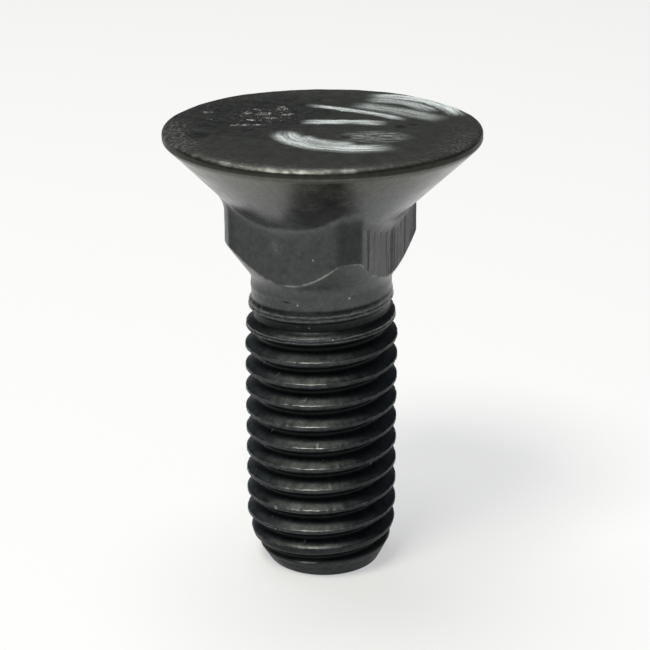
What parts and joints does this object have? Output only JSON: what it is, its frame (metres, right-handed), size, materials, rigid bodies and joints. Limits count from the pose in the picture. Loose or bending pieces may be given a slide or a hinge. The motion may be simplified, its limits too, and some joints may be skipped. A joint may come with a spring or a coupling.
{
  "type": "plow bolt",
  "caption": "Countersunk plow bolt with a flat round head, a square neck and a short threaded shank, in blackened steel.",
  "frame": {"origin": "centre of the flat end of the point, on the thread's axis", "axes": "+Z along the thread's axis, from the point to the flat of the head; X and Y square to the flats of the neck"},
  "size_m": [0.024, 0.024, 0.0354],
  "materials": {
    "blackened_steel": "satin black oxide, oiled, with worn edges"
  },
  "bodies": {
    "root": {"plow_bolt": "blackened_steel"}
  },
  "joints": []
}
